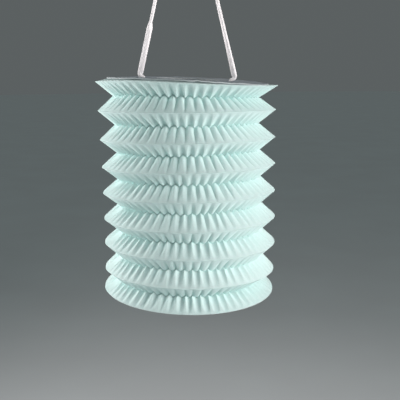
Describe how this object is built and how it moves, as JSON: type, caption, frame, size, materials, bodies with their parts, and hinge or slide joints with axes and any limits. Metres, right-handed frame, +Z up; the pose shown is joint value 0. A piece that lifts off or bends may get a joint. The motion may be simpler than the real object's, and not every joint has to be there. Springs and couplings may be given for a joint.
{
  "type": "accordion paper lantern",
  "caption": "Accordion paper lantern: a pleated, finely fluted paper drum between card ends, hung on a braided cord, that stretches, folds flat and swings.",
  "frame": {"origin": "the hang point, on the inside of the cord's top bend, where a hook bears; the drum's axis passes through it", "axes": "+Z up along the drum's axis, +X through both cord holes, -Y is the front"},
  "size_m": [0.1404, 0.1404, 0.316],
  "materials": {
    "paper": "matte, fluted, pale mint",
    "card": "matte grey-mint board",
    "braid": "white flat herringbone braid",
    "tinplate": "bright tinplate"
  },
  "bodies": {
    "hanger": {"hanging_cord": "braid", "cord_knot_left": "braid", "cord_knot_right": "braid"},
    "top": {"top_card_ring": "card", "top_paper_flap": "paper", "paper_band_01": "paper"},
    "fold_01": {"paper_band_02": "paper"},
    "fold_02": {"paper_band_03": "paper"},
    "fold_03": {"paper_band_04": "paper"},
    "fold_04": {"paper_band_05": "paper"},
    "fold_05": {"paper_band_06": "paper"},
    "fold_06": {"paper_band_07": "paper"},
    "fold_07": {"paper_band_08": "paper"},
    "fold_09": {"paper_band_09": "paper"},
    "fold_10": {"paper_band_10": "paper"},
    "fold_11": {"paper_band_11": "paper"},
    "fold_12": {"paper_band_12": "paper"},
    "fold_13": {"paper_band_13": "paper"},
    "fold_14": {"paper_band_14": "paper"},
    "fold_15": {"paper_band_15": "paper"},
    "bottom": {"bottom_card_disc": "card", "bottom_paper_flap": "paper", "candle_clip": "tinplate", "paper_band_16": "paper"}
  },
  "joints": [
    {"name": "lantern_swing", "type": "hinge", "parent": "hanger", "child": "top", "pos_m": [0, 0, -0.1443], "axis": [1, 0, 0], "range_deg": [-30, 30]},
    {"name": "bellows_stretch", "type": "slide", "parent": "top", "child": "bottom", "axis": [0, 0, -1], "range_m": [-0.14, 0.038], "stiffness_N_per_m": 3, "springref_m": -0.0451, "deforming": ["paper_band_01", "paper_band_16"]},
    {"name": "fold_01_travel", "type": "slide", "parent": "top", "child": "fold_01", "axis": [0, 0, -1], "range_m": [-0.00537, 0.00182], "deforming": ["paper_band_02"]},
    {"name": "fold_02_travel", "type": "slide", "parent": "top", "child": "fold_02", "axis": [0, 0, -1], "range_m": [-0.01444, 0.00428], "deforming": ["paper_band_03"]},
    {"name": "fold_03_travel", "type": "slide", "parent": "top", "child": "fold_03", "axis": [0, 0, -1], "range_m": [-0.02402, 0.00688], "deforming": ["paper_band_04"]},
    {"name": "fold_04_travel", "type": "slide", "parent": "top", "child": "fold_04", "axis": [0, 0, -1], "range_m": [-0.0336, 0.00948], "deforming": ["paper_band_05"]},
    {"name": "fold_05_travel", "type": "slide", "parent": "top", "child": "fold_05", "axis": [0, 0, -1], "range_m": [-0.04319, 0.01209], "deforming": ["paper_band_06"]},
    {"name": "fold_06_travel", "type": "slide", "parent": "top", "child": "fold_06", "axis": [0, 0, -1], "range_m": [-0.05276, 0.01469], "deforming": ["paper_band_07"]},
    {"name": "fold_07_travel", "type": "slide", "parent": "top", "child": "fold_07", "axis": [0, 0, -1], "range_m": [-0.06234, 0.01728], "deforming": ["paper_band_08"]},
    {"name": "fold_09_travel", "type": "slide", "parent": "top", "child": "fold_09", "axis": [0, 0, -1], "range_m": [-0.0815, 0.02249], "deforming": ["paper_band_09"]},
    {"name": "fold_10_travel", "type": "slide", "parent": "top", "child": "fold_10", "axis": [0, 0, -1], "range_m": [-0.09108, 0.02509], "deforming": ["paper_band_10"]},
    {"name": "fold_11_travel", "type": "slide", "parent": "top", "child": "fold_11", "axis": [0, 0, -1], "range_m": [-0.10066, 0.02769], "deforming": ["paper_band_11"]},
    {"name": "fold_12_travel", "type": "slide", "parent": "top", "child": "fold_12", "axis": [0, 0, -1], "range_m": [-0.11025, 0.03029], "deforming": ["paper_band_12"]},
    {"name": "fold_13_travel", "type": "slide", "parent": "top", "child": "fold_13", "axis": [0, 0, -1], "range_m": [-0.11982, 0.03289], "deforming": ["paper_band_13"]},
    {"name": "fold_14_travel", "type": "slide", "parent": "top", "child": "fold_14", "axis": [0, 0, -1], "range_m": [-0.1294, 0.03549], "deforming": ["paper_band_14"]},
    {"name": "fold_15_travel", "type": "slide", "parent": "top", "child": "fold_15", "axis": [0, 0, -1], "range_m": [-0.13664, 0.03745], "deforming": ["paper_band_15"]}
  ],
  "couplings": [
    {"joint": "fold_01_travel", "follows": "bellows_stretch", "ratio": 0.0348},
    {"joint": "fold_02_travel", "follows": "bellows_stretch", "ratio": 0.0996},
    {"joint": "fold_03_travel", "follows": "bellows_stretch", "ratio": 0.168},
    {"joint": "fold_04_travel", "follows": "bellows_stretch", "ratio": 0.2364},
    {"joint": "fold_05_travel", "follows": "bellows_stretch", "ratio": 0.3049},
    {"joint": "fold_06_travel", "follows": "bellows_stretch", "ratio": 0.3733},
    {"joint": "fold_07_travel", "follows": "bellows_stretch", "ratio": 0.4417},
    {"joint": "fold_09_travel", "follows": "bellows_stretch", "ratio": 0.5786},
    {"joint": "fold_10_travel", "follows": "bellows_stretch", "ratio": 0.647},
    {"joint": "fold_11_travel", "follows": "bellows_stretch", "ratio": 0.7154},
    {"joint": "fold_12_travel", "follows": "bellows_stretch", "ratio": 0.7839},
    {"joint": "fold_13_travel", "follows": "bellows_stretch", "ratio": 0.8523},
    {"joint": "fold_14_travel", "follows": "bellows_stretch", "ratio": 0.9207},
    {"joint": "fold_15_travel", "follows": "bellows_stretch", "ratio": 0.9724}
  ]
}
